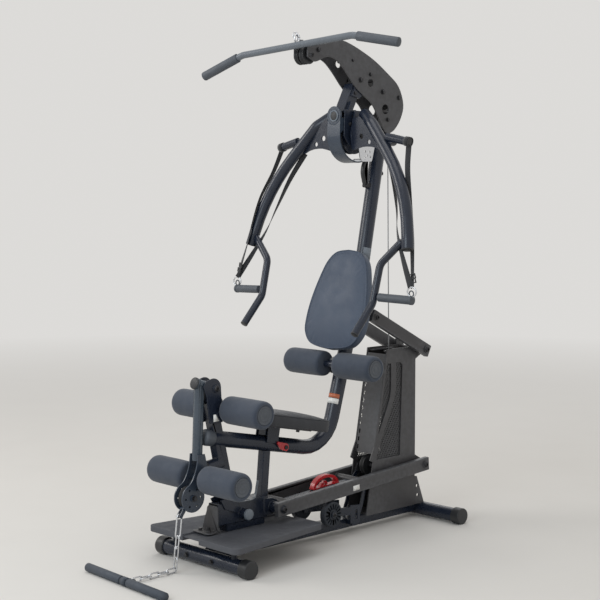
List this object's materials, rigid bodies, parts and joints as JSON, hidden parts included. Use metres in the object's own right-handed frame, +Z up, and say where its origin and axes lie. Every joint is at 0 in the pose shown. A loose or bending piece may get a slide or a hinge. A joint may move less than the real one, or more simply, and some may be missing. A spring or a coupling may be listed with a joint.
{
  "type": "multi station home gym",
  "caption": "Body-weight home gym: a seat carriage on a four-bar lift with leg station, press arms, arch with lat bar and low chain bar.",
  "frame": {"origin": "on the floor, under the middle of the machine's bounding box", "axes": "+Z up, -Y towards the leg station and the low bar, +X to the right seen from the front of the picture"},
  "size_m": [1.052, 1.6937, 2.0917],
  "materials": {
    "frame_paint": "satin powder coat with a fine orange peel",
    "plate_paint": "satin textured powder coat",
    "lever_paint": "satin powder coat",
    "deck_plastic": "matte pebble texture",
    "black_plastic": "moulded, lightly textured",
    "black_rubber": "matte",
    "grip_rubber": "fine ribbed grip",
    "foam": "closed-cell foam skin",
    "vinyl": "upholstery vinyl with fine grain and stitched edge",
    "webbing": "woven nylon webbing",
    "smoked_mesh": "fine perforated sheet",
    "red_plastic": "moulded gloss",
    "zinc": "bright zinc plate"
  },
  "bodies": {
    "base": {"front_foot_tube": "frame_paint", "rear_foot_tube": "frame_paint", "foot_caps": "black_plastic", "floor_beam": "frame_paint", "platform_stops": "black_rubber", "tower_frame": "plate_paint", "tower_mesh": "smoked_mesh", "front_guard": "smoked_mesh", "wheel_brackets": "frame_paint"},
    "tower_pulley": {"tower_pulley": "black_plastic"},
    "wheel_left": {"wheel_left": "black_rubber"},
    "wheel_right": {"wheel_right": "black_rubber"},
    "lower_link": {"lower_link_bars": "plate_paint", "selector_rail": "frame_paint"},
    "selector": {"selector_trolley": "frame_paint", "selector_handle": "red_plastic"},
    "upper_link": {"upper_link_bars": "plate_paint"},
    "carriage": {"foot_plates": "deck_plastic", "carriage_beam": "frame_paint", "front_bracket": "plate_paint", "seat_post": "frame_paint", "mast": "frame_paint", "upright": "frame_paint", "roller_axles": "frame_paint", "backrest_bracket": "frame_paint", "backrest": "vinyl", "arch_plates": "plate_paint", "hub_bracket": "frame_paint", "hub_shield": "frame_paint", "carriage_fasteners": "zinc"},
    "arch_front_pulleys": {"arch_front_pulleys": "black_plastic"},
    "arch_rear_pulley": {"arch_rear_pulley": "black_plastic"},
    "rear_cable": {"rear_cable": "zinc"},
    "seat": {"seat": "vinyl", "seat_bracket": "frame_paint"},
    "seat_latch": {"seat_latch": "red_plastic"},
    "thigh_roller_left": {"thigh_roller_left": "foam"},
    "thigh_roller_right": {"thigh_roller_right": "foam"},
    "mast_roller_left": {"mast_roller_left": "foam"},
    "mast_roller_right": {"mast_roller_right": "foam"},
    "leg_lever": {"lever_tube": "lever_paint", "lever_plates": "lever_paint"},
    "low_pulley": {"low_pulley": "black_plastic"},
    "lower_roller_left": {"lower_roller_left": "foam"},
    "lower_roller_right": {"lower_roller_right": "foam"},
    "press_arms": {"yoke_hub": "frame_paint", "arm_left": "frame_paint", "arm_right": "frame_paint", "handle_left": "frame_paint", "handle_right": "frame_paint", "side_grips": "grip_rubber", "straps": "webbing", "sector_plate": "zinc"},
    "release_handle": {"release_handle": "black_plastic"},
    "lat_bar": {"lat_bar": "frame_paint", "lat_grips": "grip_rubber", "lat_hook": "zinc"},
    "chain_upper": {"chain_upper": "zinc"},
    "chain_lower": {"chain_lower": "zinc"},
    "low_bar": {"low_bar": "frame_paint"}
  },
  "joints": [
    {"name": "lift", "type": "hinge", "parent": "base", "child": "lower_link", "pos_m": [0, 0.767, 0.246], "axis": [-1, 0, 0], "range_deg": [0, 16]},
    {"name": "upper_link_swing", "type": "hinge", "parent": "base", "child": "upper_link", "pos_m": [0, 0.769, 0.763], "axis": [-1, 0, 0], "range_deg": [0, 31]},
    {"name": "carriage_pitch", "type": "hinge", "parent": "lower_link", "child": "carriage", "pos_m": [0, -0.106, 0.186], "axis": [-1, 0, 0], "range_deg": [-7, 0]},
    {"name": "cable_swing", "type": "hinge", "parent": "carriage", "child": "rear_cable", "pos_m": [0, 0.614, 1.85], "axis": [-1, 0, 0], "range_deg": [0, 4.4]},
    {"name": "selector_slide", "type": "slide", "parent": "lower_link", "child": "selector", "axis": [0, 0.9976, 0.0686], "range_m": [-0.168, 0.062]},
    {"name": "seat_slide", "type": "slide", "parent": "carriage", "child": "seat", "axis": [0, 0.9806, -0.1959], "range_m": [-0.035, 0.04]},
    {"name": "seat_latch_pull", "type": "hinge", "parent": "carriage", "child": "seat_latch", "pos_m": [0.042, -0.042, 0.421], "axis": [1, 0, 0], "range_deg": [0, 20], "stiffness_Nm_per_rad": 0.6},
    {"name": "leg_lever_swing", "type": "hinge", "parent": "carriage", "child": "leg_lever", "pos_m": [0, -0.401, 0.695], "axis": [-1, 0, 0], "range_deg": [0, 90]},
    {"name": "chain_swing", "type": "hinge", "parent": "leg_lever", "child": "chain_upper", "pos_m": [0, -0.56, 0.216], "axis": [-1, 0, 0], "range_deg": [-90, 0]},
    {"name": "chain_drop", "type": "hinge", "parent": "chain_upper", "child": "chain_lower", "pos_m": [0, -0.584, 0.012], "axis": [1, 0, 0], "range_deg": [0, 90]},
    {"name": "low_bar_turn", "type": "hinge", "parent": "chain_lower", "child": "low_bar", "pos_m": [0, -0.784, 0.012], "axis": [1, 0, 0], "range_deg": [-90, 0]},
    {"name": "press_swing", "type": "hinge", "parent": "carriage", "child": "press_arms", "pos_m": [0, 0.388, 1.692], "axis": [-1, 0, 0], "range_deg": [0, 60]},
    {"name": "release_pull", "type": "hinge", "parent": "carriage", "child": "release_handle", "pos_m": [0, 0.476, 1.486], "axis": [1, 0, 0], "range_deg": [0, 14], "stiffness_Nm_per_rad": 0.8},
    {"name": "lat_bar_swivel", "type": "hinge", "parent": "carriage", "child": "lat_bar", "pos_m": [0, 0.057, 2.046], "axis": [0, 0, 1], "range_deg": [-24, 4]},
    {"name": "wheel_left_spin", "type": "hinge", "parent": "base", "child": "wheel_left", "pos_m": [-0.088, 0.177, 0.117], "axis": [1, 0, 0], "continuous": true},
    {"name": "thigh_roller_left_spin", "type": "hinge", "parent": "carriage", "child": "thigh_roller_left", "pos_m": [-0.146, -0.347, 0.608], "axis": [1, 0, 0], "continuous": true},
    {"name": "mast_roller_left_spin", "type": "hinge", "parent": "carriage", "child": "mast_roller_left", "pos_m": [-0.144, 0.272, 0.729], "axis": [1, 0, 0], "continuous": true},
    {"name": "lower_roller_left_spin", "type": "hinge", "parent": "leg_lever", "child": "lower_roller_left", "pos_m": [-0.154, -0.468, 0.352], "axis": [1, 0, 0], "continuous": true},
    {"name": "wheel_right_spin", "type": "hinge", "parent": "base", "child": "wheel_right", "pos_m": [0.088, 0.177, 0.117], "axis": [1, 0, 0], "continuous": true},
    {"name": "thigh_roller_right_spin", "type": "hinge", "parent": "carriage", "child": "thigh_roller_right", "pos_m": [0.146, -0.347, 0.608], "axis": [1, 0, 0], "continuous": true},
    {"name": "mast_roller_right_spin", "type": "hinge", "parent": "carriage", "child": "mast_roller_right", "pos_m": [0.144, 0.272, 0.729], "axis": [1, 0, 0], "continuous": true},
    {"name": "lower_roller_right_spin", "type": "hinge", "parent": "leg_lever", "child": "lower_roller_right", "pos_m": [0.154, -0.468, 0.352], "axis": [1, 0, 0], "continuous": true},
    {"name": "tower_pulley_spin", "type": "hinge", "parent": "base", "child": "tower_pulley", "pos_m": [0, 0.5, 0.268], "axis": [1, 0, 0], "continuous": true},
    {"name": "low_pulley_spin", "type": "hinge", "parent": "leg_lever", "child": "low_pulley", "pos_m": [0, -0.512, 0.282], "axis": [1, 0, 0], "continuous": true},
    {"name": "arch_front_pulleys_spin", "type": "hinge", "parent": "carriage", "child": "arch_front_pulleys", "pos_m": [0, 0.106, 2.01], "axis": [1, 0, 0], "continuous": true},
    {"name": "arch_rear_pulley_spin", "type": "hinge", "parent": "carriage", "child": "arch_rear_pulley", "pos_m": [0, 0.578, 1.85], "axis": [1, 0, 0], "continuous": true}
  ],
  "couplings": [
    {"joint": "upper_link_swing", "follows": "lift", "ratio": 1.917},
    {"joint": "carriage_pitch", "follows": "lift", "ratio": -0.4206},
    {"joint": "cable_swing", "follows": "lift", "ratio": 0.257},
    {"joint": "chain_swing", "follows": "leg_lever_swing", "ratio": -1},
    {"joint": "chain_drop", "follows": "leg_lever_swing", "ratio": 1},
    {"joint": "low_bar_turn", "follows": "leg_lever_swing", "ratio": -1}
  ]
}
